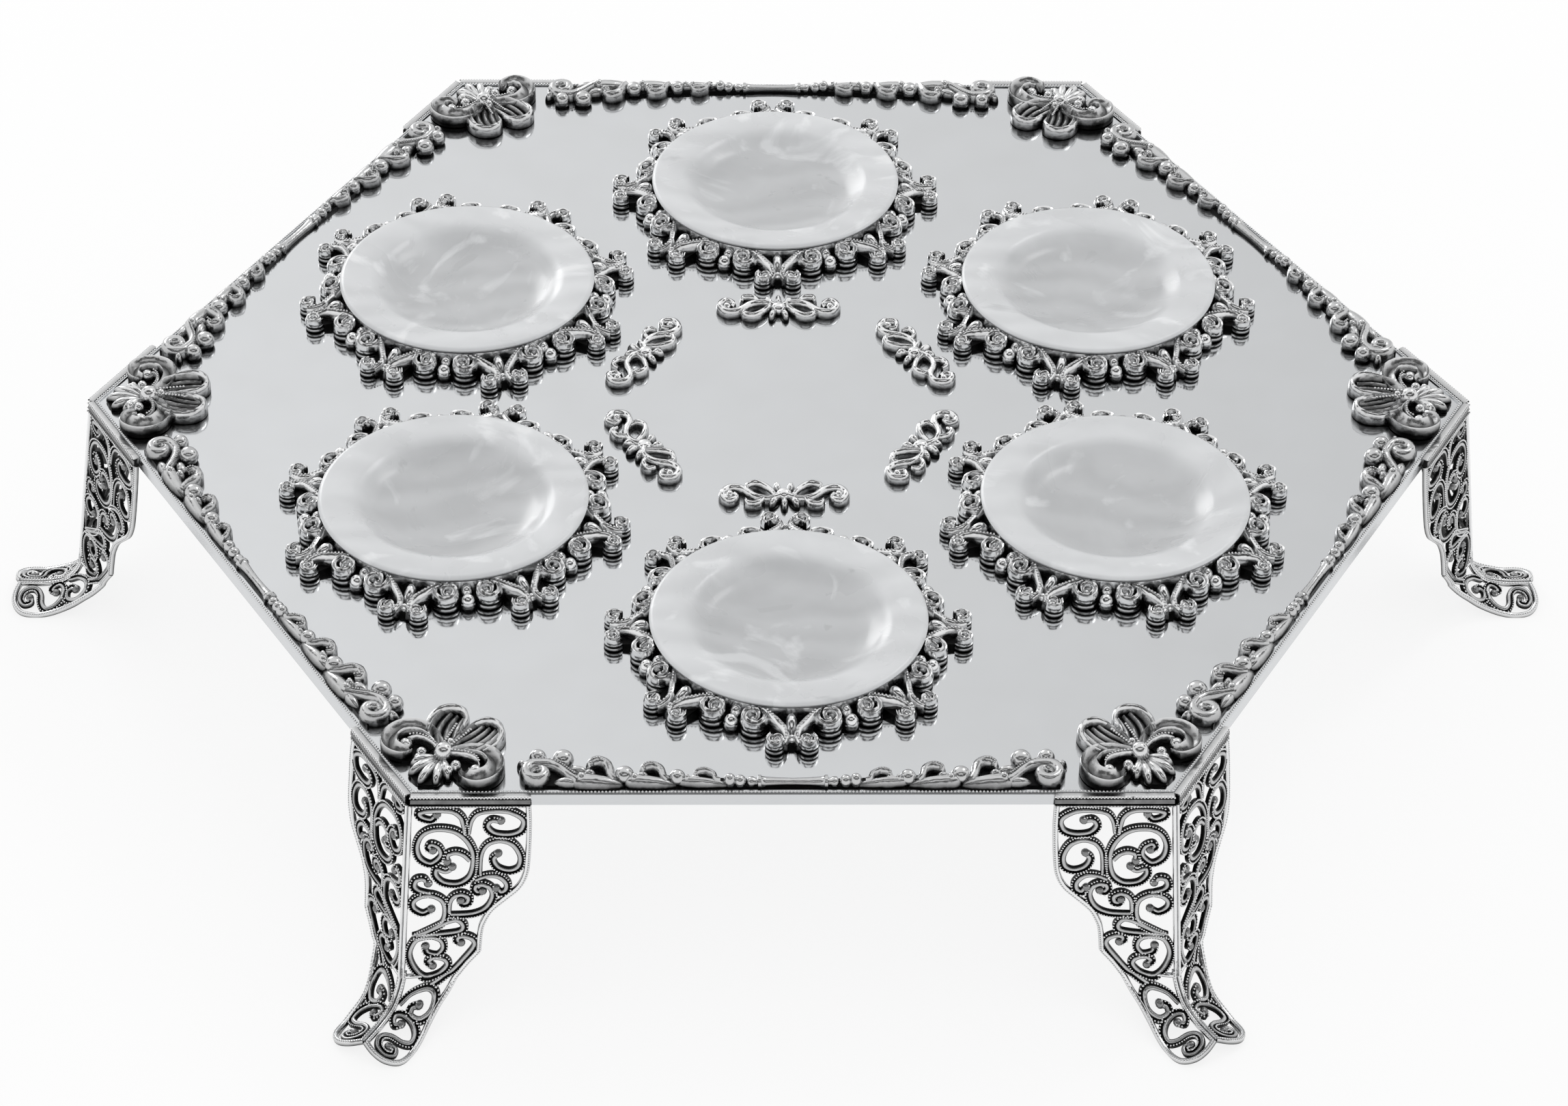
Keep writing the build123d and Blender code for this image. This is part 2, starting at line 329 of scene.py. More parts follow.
def scroll(bench, points, width, height, start=0.8, end=0.6, section=ROUND_BAR, base=0.0, steps=5):
    """Sweep a cross-section along a flat path, narrower at its start and end."""
    path = smooth_path([Vector((x, y, 0)) for x, y in points], steps)
    stations = []
    for index, here in enumerate(path):
        along = (path[min(index + 1, len(path) - 1)] - path[max(index - 1, 0)]).normalized()
        share = index / (len(path) - 1)
        swell = min(1, start + 3 * share * (1 - start), end + 3 * (1 - share) * (1 - end))
        axes = Matrix((along.cross(UP) * width * swell, along, UP * height * (0.5 + 0.5 * swell)))
        stations.append(Matrix.Translation(here + UP * base) @ axes.transposed().to_4x4())
    small = bmesh.new()
    shade = small.verts.layers.float.new("patina_and_shade")
    loop = []
    for across, up, dark in section:
        corner = small.verts.new((across, 0, up))
        corner[shade] = dark
        loop.append(corner)
    cap = small.faces.new(loop)
    bmesh.ops.transform(small, matrix=stations[0], verts=loop)
    for before, here in zip(stations, stations[1:]):
        made = bmesh.ops.extrude_face_region(small, geom=[cap, *cap.edges])["geom"]
        cap = next(item for item in made if isinstance(item, bmesh.types.BMFace))
        bmesh.ops.transform(small, matrix=here @ before.inverted(), verts=corners_in(made))
    gather(bench, small)
    return path


print("scroll bars ready,", len(ROUND_BAR), "corners in the round section")

# %% [markdown]
# The rest is balls, beads and leaves. Milgrain, the row of tiny beads along an edge, is rolled with a knurled
# wheel. It repeats hundreds of times, so a bead is the smallest icosphere. A leaf is a sphere drawn out to a
# point.

# %% Balls, beads and leaves
FINE_BALL = 1.6  # mm, balls over this radius are finer


def darken_low(small, low, high, least=0.0):
    """Paint shade on what lies low on a small bench, and darken the rest by a least amount."""
    shade = small.verts.layers.float.new("patina_and_shade")
    # painted shade: lower points are darker, towards the bottom of the piece
    for corner in small.verts:
        corner[shade] = max(least, min(1.0, (high - corner.co.z) / (high - low)))


def trim(small):
    """Cut off what lies under the bench, and close the cut."""
    everything = small.verts[:] + small.edges[:] + small.faces[:]
    plane = {"plane_co": (0, 0, 0), "plane_no": -UP}
    cut = bmesh.ops.bisect_plane(small, geom=everything, clear_outer=True, **plane)["geom_cut"]
    bmesh.ops.edgeloop_fill(small, edges=[item for item in cut if isinstance(item, bmesh.types.BMEdge)])


def ball(bench, x, y, radius, height, least=0.0):
    """Set a squat ball, with its top at a height."""
    small = bmesh.new()
    shape = Matrix.Diagonal((radius, radius, height / 1.6, 1))
    spot = Matrix.Translation((x, y, height - height / 1.6))
    fineness = 3 if radius > FINE_BALL else 2
    bmesh.ops.create_icosphere(small, subdivisions=fineness, radius=1, matrix=spot @ shape)
    trim(small)
    # painted shade on the lower half of the ball
    darken_low(small, 0.0, height * 0.5, least)
    gather(bench, small)


def beads(bench, path, pitch, radius, level, aside=0.0):
    """Roll a row of beads along a path, or beside it."""
    small = bmesh.new()
    travelled = 0.0
    for start, end in zip(path, path[1:]):
        length = (end - start).length
        across = (end - start).cross(UP).normalized()
        while travelled < length:
            spot = start.lerp(end, travelled / length) + across * aside + UP * level
            there = Matrix.Translation(spot)
            bmesh.ops.create_icosphere(small, subdivisions=1, radius=radius, matrix=there)
            travelled += pitch
        travelled -= length
    # painted shade on the underside of the beads
    darken_low(small, level - radius, level + radius * 0.4)
    gather(bench, small)


def leaf(bench, root, tip, width, height, base=0.0, fat=0.62):
    """Lay a leaf from its root to its tip, fattest at a share of its length."""
    root, tip = Vector((*root, 0)), Vector((*tip, 0))
    along = tip - root
    small = bmesh.new()
    lying = Matrix.Rotation(pi / 2, 4, "Y")
    bmesh.ops.create_uvsphere(small, u_segments=14, v_segments=12, radius=1, matrix=lying)
    for corner in small.verts:
        t = (corner.co.x + 1) / 2
        corner.co.x = t ** (0.5 / fat) * 2 - 1
        corner.co.z = max(corner.co.z, -0.05)
    axes = Matrix((along / 2, along.cross(UP).normalized() * -width / 2, UP * height))
    spot = Matrix.Translation((root + tip) / 2 + UP * base)
    bmesh.ops.transform(small, matrix=spot @ axes.transposed().to_4x4(), verts=small.verts)
    # painted shade on the lower part of the leaf
    darken_low(small, base, base + height * 0.7)
    gather(bench, small)


print("bench tools ready")

# %% [markdown]
# A leg is two pierced panels that meet at the tray's corner. Each is sawn and chased flat, then leaned
# outwards and bent into a toe. So the scrolls are drawn flat, by their distance across from the seam and down
# the slope, and one function then bends the flat sheet: straight down to the ankle, and along a smooth curve
# through the toe.

# %% The bend of a leg
lean = radians(6.5)
ankle_height = 13.4
flat_length = (rail_top - ankle_height) / cos(lean)
seam_run = sin(lean) * tan(pi / 6)
edge_way = Vector((-sin(pi / 6), cos(pi / 6), 0))
edge_out = Vector((cos(pi / 6), sin(pi / 6), 0))
splay = tan(lean) / cos(pi / 6)
toe_fall = 0.377  # mm down for each mm sideways
lobe_way = Vector((0, 1, -toe_fall)).normalized()
ankle = Vector((side + (rail_top - ankle_height) * splay, 0, ankle_height))
ridge = [ankle - Vector((splay, 0, -1)) * 9, ankle - Vector((splay, 0, -1)) * 3, ankle]
ridge += [Vector((side + 10.6, 0, 8.9)), Vector((side + 14.2, 0, 5.7)), Vector((side + 20.6, 0, 4.4))]
ridge += [Vector((side + 26, 0, 4.4)), Vector((side + 31, 0, 4.5))]
ways = [edge_way] * 3 + [edge_way * 2 + lobe_way, edge_way + lobe_way * 2] + [lobe_way] * 3
ridge_line = smooth_path(ridge, 6)
way_line = smooth_path([way.normalized() for way in ways], 6)
depths = [flat_length - (ankle - ridge[0]).length]
for start, end in zip(ridge_line, ridge_line[1:]):
    depths.append(depths[-1] + (end - start).length)


def bend_leg(flat):
    """Take a point of the flat panel, as across, down and out, to its place on the leg."""
    across, down, out = flat
    if down <= depths[0]:
        way = edge_way
        along = edge_out * sin(lean) - UP * cos(lean)
        spine = Vector((side + down * cos(lean) * splay, 0, rail_top - down * cos(lean)))
    else:
        index = min(bisect_right(depths, down), len(depths) - 1) - 1
        share = (down - depths[index]) / (depths[index + 1] - depths[index])
        spine = ridge_line[index].lerp(ridge_line[index + 1], share)
        way = way_line[index].lerp(way_line[index + 1], share).normalized()
        along = ridge_line[index + 1] - ridge_line[index]
    spot = spine + way * across + along.cross(way).normalized() * out
    spot.y = max(spot.y, 0.0)
    spot.z = max(spot.z, 0.0)
    return spot


print(f"toe ends {depths[-1]:.1f} mm down the leg")

# %% [markdown]
# The scrolls themselves. Each list holds the points of one bar, read off the drawing of the front panel: how
# far along the tray's edge from the corner, and how far down. The toe's points are taken from the ridge and
# from the ankle.

# %% Drawing of the filigree
panel_scrolls = [
    ([(7, 6.6), (5.4, 8.4), (2.6, 7.6), (2, 5.8), (5, 4.9), (11, 5), (13.8, 7.2), (14.6, 10),
        (15, 12.6)], [0]),
    ([(15.4, 13), (16.2, 8.8), (18.2, 6), (22, 5), (27, 5.2), (31, 8), (30.4, 11.8), (27, 13.4),
        (22.6, 12.9), (20.6, 10.4), (22, 8.2), (24.6, 8.6)], [-1]),
    ([(5.6, 18.6), (4.2, 17.6), (5.2, 16.2), (7.4, 17.4), (8, 20.4), (5, 23.2), (1.8, 21.4), (0.9, 17.5),
        (2.4, 13.4), (6, 11.2), (11.3, 11.6), (14.8, 14.4), (16.8, 18.5), (17, 23), (15.7, 27.6),
        (12.4, 30), (8.2, 29.6), (5.9, 27), (6.4, 24.6), (9, 25.4), (10.8, 24.2)], [0, -1]),
    ([(9.4, 22.4), (9.4, 20), (11.6, 18.9), (14, 19.6), (16, 21.8)], [0]),
    ([(18.2, 27), (18.7, 20), (20.8, 16.2), (24.5, 14.9), (28, 16.4), (30, 20.4), (29.4, 24.2),
        (26.5, 25.6), (23.2, 24.3), (22, 21.4), (23.6, 19.6)], [-1]),
    ([(4, 29.8), (2.8, 28), (0.6, 28.4), (-0.2, 30.6), (1, 32.4), (4.5, 33.5)], [0]),
    ([(4.6, 38.6), (2.2, 40), (-0.3, 38.5), (-0.6, 36), (1.6, 34), (5, 33.6), (8, 35.5), (8.8, 39),
        (7.7, 43.3), (3.5, 46.4), (-0.8, 48)], [0]),
    ([(12.9, 35.6), (13.4, 36.9), (15, 36.4), (15.3, 34.4), (13.3, 33.1), (11, 33.9), (9.6, 36),
        (9.2, 39.5)], [0]),
    ([(19, 32.4), (17.6, 33), (16.6, 31.8), (17.2, 30.2), (19.4, 29.8), (21.6, 31.4), (22, 34.5),
        (20, 38.3), (16, 40.3), (10, 40.7)], [0]),
    ([(17, 28.4), (20, 27), (23.5, 27), (25.9, 29.4), (25.8, 32), (24, 33), (22.8, 31.4)], [-1]),
    ([(0.2, 47.6), (6, 44.4), (9.5, 42.4), (12, 42), (13.7, 44.2), (12.4, 46.4), (6, 47.5), (0.6, 48)], []),
    ([(2.6, 51.4), (3, 53.6), (6, 54.3), (7.8, 52), (7.2, 49.2), (4.5, 47.9), (0.4, 48.7), (-1.6, 51.5),
        (-2.2, 55), (-0.8, 59.3), (2, 62.4), (6, 61.2), (8.8, 58), (7.9, 55.6), (4.9, 55), (3, 56.6),
        (4.4, 58.2)], [0, -1]),
    ([(12.6, 50.2), (11.4, 49.6), (11.6, 48.2), (13.4, 47.5), (16, 48.6), (16.6, 51.2), (13.5, 55.8),
        (9.5, 60.6), (4.5, 64.2)], [0]),
]
toe_scrolls = [
    ([(1.2, 8.2), (3.4, 4.4), (7.4, 2.4), (10.2, 3.6), (10.6, 7.4), (8.4, 10.2), (5.4, 10.0), (4.8, 7.8),
        (6.6, 6.8)], [-1]),
    ([(4.6, 13.0), (3.4, 14.4), (2.0, 13.2), (1.8, 11.4), (3.8, 10.4), (7.2, 11.2), (9.8, 13.4),
        (10.3, 16.0), (8.0, 17.5), (4.6, 17.9), (2.8, 19.2), (2.6, 21.2), (4.0, 23.2), (6.6, 23.9),
        (8.4, 22.6), (7.6, 20.6), (5.8, 21.0)], [0, -1]),
]
free_edge = [(32.2, 3.5), (32.3, 11), (31.7, 22), (30.9, 27), (29, 31), (25.4, 34.6), (21.4, 38.5),
    (19.2, 42.4), (18.1, 46), (17.4, 53)]
cusp_edge = [(17.2, 53.2), (14.4, 56.6), (11.8, 60.4)]
toe_edge = [(13.4, 2.4), (11.6, 6.0), (11.0, 9.9), (11.7, 15.0), (11.9, 20.0), (10.9, 23.6), (7.8, 25.7),
    (4.0, 25.7), (0.3, 24.4)]


def from_seam(points):
    return [(along + seam_run * down, down) for along, down in points]


def past_ankle(points):
    return [(across, flat_length + down) for across, down in points]


def outside(points):
    """Tell on which side of a curling bar its outside lies."""
    turning = 0.0
    for (ax, ay), (bx, by), (cx, cy) in zip(points, points[1:], points[2:]):
        turning += (bx - ax) * (cy - by) - (by - ay) * (cx - bx)
    return 1 if turning > 0 else -1


print(len(panel_scrolls) + len(toe_scrolls), "scrolls in a panel")

# %% [markdown]
# Now the panel is sawn, grooved and beaded on the flat, and bent. Each bar has a bright crown, a dark channel
# and milgrain along its outer shoulder, as in the photograph. The left panel is the right one seen in a
# mirror, so the mesh is mirrored and its faces are turned the right way again.

# %% Leg panels
MILGRAIN = (0.74, 0.33)  # pitch and radius of the beads
COARSE_MILGRAIN = (0.92, 0.36)
BEADED_BAR = [(-0.5, 0, 1), (-0.5, 0.6, 0.9), (-0.42, 0.9, 0.5), (-0.24, 1, 0.16), (0, 0.88, 0.24),
    (0.1, 0.55, 1)]
BEADED_BAR += [(0.22, 0.55, 1), (0.28, 0.8, 0.8), (0.5, 0.75, 1), (0.5, 0, 1)]
RAIL = [(-0.5, 0, 1), (-0.5, 0.9, 0.2), (-0.4, 1, 0), (-0.3, 0.6, 1), (-0.18, 0.9, 0.5), (0.18, 0.9, 0.5),
    (0.3, 0.6, 1), (0.4, 1, 0), (0.5, 0.9, 0), (0.5, 0, 0.2)]
panel = bmesh.new()
drawn = [(from_seam(points), curls) for points, curls in panel_scrolls]
drawn += [(past_ankle(points), curls) for points, curls in toe_scrolls]
for points, curls in drawn:
    flank = outside(points)
    path = scroll(panel, points, flank * 2.3, 1.4, start=0.75, end=0.9, section=BEADED_BAR)
    beads(panel, path, *MILGRAIN, 1.15, aside=flank * 0.88)
    for end in curls:
        ball(panel, *points[end], 1.3, 1.7, least=0.45)
for points in (from_seam(free_edge), from_seam(cusp_edge) + past_ankle(toe_edge)):
    path = scroll(panel, points, 1.6, 1.5, start=1, end=1)
    beads(panel, path, *MILGRAIN, 1.45, aside=0.3)
ridge_points = past_ankle([(0.5, -2), (0.5, 8), (0.5, 16), (0.5, 24.5)])
ridge_bar = scroll(panel, ridge_points, 1.2, 1.3, start=1, end=1)
beads(panel, ridge_bar, *COARSE_MILGRAIN, 1.3)
scroll(panel, past_ankle([(0.2, 0), (3, -0.2), (6, -0.6)]), 1.3, 1.3, start=1, end=0.8)
seam_bar = [(0, 3.4), (0, 20), (0, 40), (0, flat_length)]
scroll(panel, seam_bar, 1.3, 1.6, start=1, end=1)
rail = scroll(panel, [(0, 1.8), (16, 1.8), (33, 1.8)], 3.6, 1.9, start=1, end=1, section=RAIL)
for flank in (-1.45, 1.45):
    beads(panel, rail, *COARSE_MILGRAIN, 1.85, aside=flank)
for corner in panel.verts:
    corner.co = bend_leg(corner.co)
bmesh.ops.recalc_face_normals(panel, faces=panel.faces)
other_panel = panel.copy()
bmesh.ops.scale(other_panel, vec=(1, -1, 1), verts=other_panel.verts)
bmesh.ops.reverse_faces(other_panel, faces=other_panel.faces)
set_out(panel, "filigree_right_{}", 0, silver, stands_for=["leg_{}_right_panel", "leg_{}_corner_post"])
set_out(other_panel, "filigree_left_{}", 0, silver, stands_for=["leg_{}_left_panel"])

# %% [markdown]
# The dishes are turned on a lathe from slices of onyx, so one half-profile is spun round. The real edge is
# softly rounded, the rim slopes a little and the well has a round wall.


# %% Onyx dishes
def lathe(bench, profile, centre, axis, steps):
    """Turn a half-profile round an axis."""
    line = [bench.verts.new(spot) for spot in profile]
    edges = [bench.edges.new(pair) for pair in zip(line, line[1:])]
    turn = {"cent": centre, "axis": axis, "angle": 2 * pi, "steps": steps}
    bmesh.ops.spin(bench, geom=line + edges, use_merge=True, use_duplicate=False, **turn)
    bmesh.ops.remove_doubles(bench, verts=bench.verts, dist=0.001)


dish = bmesh.new()
profile = [(0, 2.6), (12, 2.6), (19, 2.75), (22.6, 3.3), (25.2, 4.4), (27.2, 5.8), (28.8, 6.9),
    (30.4, 7.45), (34, 7.8)]
profile += [(38.6, 8.15), (39.5, 8.0), (40, 7.35), (39.8, 6.7), (39.0, 6.15), (36, 5.05), (32.3, 3.85),
    (32, 3.5), (32, 0.3)]
profile += [(31.7, 0), (0, 0)]
lathe(dish, [(x, 0, z) for x, z in profile], (0, 0, 0), UP, 112)
bmesh.ops.recalc_face_normals(dish, faces=dish.faces)
bmesh.ops.translate(dish, vec=(dish_pitch, 0, plate_top), verts=dish.verts)
set_out(dish, "onyx_dish_{}", 30, onyx, body="dish_{}", stands_for=["dish_{}"])

# %% [markdown]
# The castings are full of curls, so their points come from a spiral that winds inwards. The castings are not
# equally bright either: the rings shine most and the borders least. So a whole casting can be darkened by a
# least amount.


# %% Curls and darkening
def curl(x, y, radius, start, turns, tight, steps=10):
    """Give the points of a spiral that winds inwards."""
    points = []
    count = max(3, int(abs(turns) * steps))
    for step in range(count + 1):
        t = step / count
        reach = radius * (1 - (1 - tight) * t)
        angle = radians(start) + turns * 2 * pi * t
        points.append((x + reach * cos(angle), y + reach * sin(angle)))
    return points


RING_DARKENING, CORNER_DARKENING, BORDER_DARKENING = 0.012, 0.045, 0.14


def darken_whole(bench, least):
    """Darken a whole casting by a least amount."""
    shade = bench.verts.layers.float["patina_and_shade"]
    for corner in bench.verts:
        corner[shade] = least + (1 - least) * corner[shade]


print("least tarnish:", RING_DARKENING, CORNER_DARKENING, BORDER_DARKENING)

# %% [markdown]
# Each dish stands in a cast ring of eight fleurs. A fleur has two arms that meet and part again into
# ball-tipped curls, and a volute stands on either side of it. Curls and volutes have a stepped flank and a
# shallow groove on top. All of it is set on a saw-cut plate as the casting's ground, painted dark as painted
# shade between the scrolls. The whole ring rises towards its dish and stays under the dish's sloping rim.

# %% Scroll rings
FLEURS = 8
BETWEEN = 360 / FLEURS
DISH_REACH = 40.4  # mm, just past the edge of the dish
STEPPED_BAR = [(-0.5, 0, 0.8), (-0.5, 0.2, 0.08), (-0.41, 0.28, 0.9), (-0.41, 0.38, 0.9)]
STEPPED_BAR += [(-0.5, 0.46, 0.04), (-0.5, 0.75, 0), (-0.34, 1, 0), (-0.2, 0.97, 0.02)]
STEPPED_BAR += [(0, 0.87, 0.22)] + [(-across, up, dark) for across, up, dark in reversed(STEPPED_BAR)]
ring = bmesh.new()


def on_ring(angle, reach):
    return reach * cos(radians(angle)), reach * sin(radians(angle))


ground = [(-22.5, 41), (-18.5, 44.2), (-14.2, 45.8), (-10, 44.4), (-8.4, 42.4), (-7, 48.2), (-4.6, 51.4),
    (0, 49.6)]
ground += [(-angle, reach) for angle, reach in reversed(ground[1:-1])]
outline = [on_ring(angle + BETWEEN * fleur, reach) for fleur in range(FLEURS) for angle, reach in ground]
web = bmesh.new()
shade = web.verts.layers.float.new("patina_and_shade")
outer = [web.verts.new((x, y, 0)) for x, y in outline]
inner = bmesh.ops.create_circle(web, segments=len(outline), radius=32.6)["verts"]
loops = [web.edges.new(pair) for pair in zip(outer, outer[1:] + outer[:1])]
loops += dict.fromkeys(edge for corner in inner for edge in corner.link_edges)
bmesh.ops.bridge_loops(web, edges=loops)
made = bmesh.ops.extrude_face_region(web, geom=web.faces[:])["geom"]
bmesh.ops.translate(web, vec=UP * 1.6, verts=corners_in(made))
# painted shade: the ground between the scrolls is painted dark
for corner in web.verts:
    corner[shade] = 0.8
gather(ring, web)
hoop = curl(0, 0, 38.4, start=0, turns=1, tight=1, steps=64)
scroll(ring, hoop, 2.2, 4.4, start=1, end=1, steps=1)
for fleur in range(FLEURS):
    middle = BETWEEN * fleur
    leaf(ring, on_ring(middle, 39.4), on_ring(middle, 46.6), 4.4, 3.8, base=0.4, fat=0.4)
    ball(ring, *on_ring(middle, 48.0), 1.2, 3.4)
    ball(ring, *on_ring(middle + BETWEEN / 2, 44.0), 2.2, 3.7)
    ball(ring, *on_ring(middle + BETWEEN / 2, 40.4), 2.0, 3.6)
    for way in (-1, 1):
        arm = [(11.8, 39.2), (8.6, 41), (5.4, 43.2), (2.6, 45.8), (1.8, 48.4), (2.6, 51)]
        points = [on_ring(middle + way * angle, reach) for angle, reach in arm]
        path = scroll(ring, points, 2.5, 3.6, end=0.8, base=0.6)
        beads(ring, path, 1.05, 0.4, 4.15)
        x, y = on_ring(middle + way * 5.1, 50.3)
        tip = curl(x, y, 2.5, middle + way * 150, -way * 1.25, tight=0.25)
        scroll(ring, tip, 1.8, 4.2, section=STEPPED_BAR, base=0.3, steps=2)
        ball(ring, x, y, 1.1, 3.8)
        turn = middle + way * 14.6
        x, y = on_ring(turn, 42.6)
        volute = curl(x, y, 3.7, turn - way * 120, way * 1.25, tight=0.25)
        scroll(ring, volute, 2.2, 4.0, section=STEPPED_BAR, base=0.3, steps=2)
        ball(ring, x, y, 1.3, 3.4)
for corner in ring.verts:
    reach = corner.co.xy.length
    corner.co.z *= 1 + 0.5 * max(0.0, min(1.0, (50 - reach) / 10))
    if reach < DISH_REACH:
        under_rim = 4.7 + (reach - 36) * 0.36
        corner.co.z = min(corner.co.z, under_rim)
darken_whole(ring, RING_DARKENING)
bmesh.ops.translate(ring, vec=(dish_pitch, 0, plate_top), verts=ring.verts)
set_out(ring, "ring_scrolls_{}", 30, silver, stands_for=["scroll_ring_{}"])

# %% [markdown]
# The corners carry a cast acanthus piece: a small shell towards the corner, two broad scrolled leaves, and a
# fluted fan that points to the middle, all tied by a round knot. Points are given as inwards from the corner,
# and sideways.

# %% Corner ornaments
FLUTED_BAND = [(-0.5, 0, 1), (-0.5, 0.8, 0.3), (-0.42, 1, 0), (-0.3, 0.5, 0.8), (-0.17, 0.72, 0.1),
    (-0.06, 0.42, 0.9), (0.07, 0.66, 0.1)]
FLUTED_BAND += [(0.19, 0.42, 0.9), (0.3, 0.64, 0.1), (0.38, 0.55, 0.7), (0.45, 1, 0), (0.5, 0.8, 0.3),
    (0.5, 0, 1)]
LEAF_BAND = [(-0.5, 0, 1), (-0.5, 0.85, 0.2), (-0.4, 1, 0), (-0.22, 0.65, 0.2), (0.05, 0.45, 0.6),
    (0.3, 0.6, 0.2), (0.44, 0.9, 0), (0.5, 0.75, 0.3), (0.5, 0, 1)]
corner_piece = bmesh.new()


def plate_of(bench, outline, height):
    """Saw a flat plate to an outline, painted dark as painted shade between the scrolls."""
    small = bmesh.new()
    shade = small.verts.layers.float.new("patina_and_shade")
    face = small.faces.new([small.verts.new((x, y, 0)) for x, y in outline])
    made = bmesh.ops.extrude_face_region(small, geom=[face])["geom"]
    bmesh.ops.translate(small, vec=UP * height, verts=corners_in(made))
    # painted shade: the whole plate is painted dark
    for corner in small.verts:
        corner[shade] = 1.0
    gather(bench, small)


def from_corner(inward, sideways):
    return side - inward, sideways


def one_side(points, way):
    """Place points on one side of a corner's middle line."""
    return [from_corner(inward, way * sideways) for inward, sideways in points]


def spray(bench, root, length, angle, width, height, base, fat):
    """Lay a leaf that leaves a root at an angle, where 0 points to the middle of the tray."""
    x, y = from_corner(*root)
    tip = (x - length * cos(radians(angle)), y + length * sin(radians(angle)))
    leaf(bench, (x, y), tip, width, height, base, fat)


# dark ground plates under the corner piece, painted shade
for inward, sideways, reach in ((9.4, 0, 5.2), (16.2, 10.4, 6.2), (16.2, -10.4, 6.2), (25.6, 4.6, 6.4),
    (25.6, -4.6, 6.4), (17, 0, 5)):
    x, y = from_corner(inward, sideways)
    plate_of(corner_piece, curl(x, y, reach, start=0, turns=0.96, tight=1, steps=24), 0.9)
for way in (-1, 1):
    lobe = [(18.4, 1.2), (21.6, 3.0), (25.4, 4.8), (29, 5.6), (32.4, 5.8)]
    points = one_side(lobe, way)
    scroll(corner_piece, points, -way * 9.8, 4.0, start=0.3, end=0.85, section=FLUTED_BAND, base=0.2)
    brim = [(27.4, 0.9), (31.2, 1.5), (33.8, 3.8), (33.9, 7.2), (31.4, 10.0), (27, 10.8), (22.6, 9.2)]
    points = one_side(brim, way)
    scroll(corner_piece, points, 2.2, 4.6, start=0.5, end=0.4, base=0.2)
for angle, length in ((180, 12.6), (158, 11.6), (202, 11.6), (138, 9.4), (222, 9.4)):
    spray(corner_piece, (16.4, 0), length, angle, 3.2, 3.4, base=0.4, fat=0.75)
for way in (-1, 1):
    bowl = [(18.2, 1.6), (21.4, 5.6), (22.4, 10.6), (20, 15), (15.4, 16.2), (11.8, 14), (11.6, 10.4),
        (13.8, 9)]
    points = one_side(bowl, way)
    scroll(corner_piece, points, -way * 5.2, 4.6, start=0.45, end=0.5, section=LEAF_BAND, base=0.3)
    rib = [(17.6, 2.4), (18.8, 5.8), (18.8, 9.4), (17, 11.8)]
    path = scroll(corner_piece, one_side(rib, way), 1.5, 4.2, end=0.5)
    beads(corner_piece, path, 0.95, 0.38, 4.2)
    for inward, sideways, radius in ((14.4, 5.6, 1.7), (15.4, 11.4, 2.0), (11.8, 5.2, 1.3)):
        ball(corner_piece, *from_corner(inward, way * sideways), radius, 3.8)
    vein = [Vector((*from_corner(19.5, way * 1.2), 0)), Vector((*from_corner(27.5, way * 2.4), 0))]
    beads(corner_piece, vein, 1.0, 0.45, 4.2)
ball(corner_piece, *from_corner(17, 0), 2.9, 5.8)
ball(corner_piece, *from_corner(20.8, 0), 1.5, 5.0)
darken_whole(corner_piece, CORNER_DARKENING)
bmesh.ops.translate(corner_piece, vec=UP * plate_top, verts=corner_piece.verts)
set_out(corner_piece, "acanthus_{}", 0, silver, stands_for=["corner_ornament_{}"])

# %% [markdown]
# Along each edge runs a cast strip. It starts with a disc-shaped scroll near each corner, goes on with
# leaves, horns and balls that get smaller, and ends in a turned spindle in the middle. Its whole surface is a
# little darker. Points are given as along the edge from its middle, and inwards from the rim.

# %% Border strips
border = bmesh.new()
border_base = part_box("border_strip_2")[1][1] * 1000


def on_edge(along, inward, way):
    return border_base - inward, way * along


strip = [(73.8, 0.9), (73, 7.6), (68, 8.4), (52, 6.4), (34, 5.2), (20, 4.2), (0, 3.4)]
strip += [(-along, inward) for along, inward in reversed(strip[:-1])]
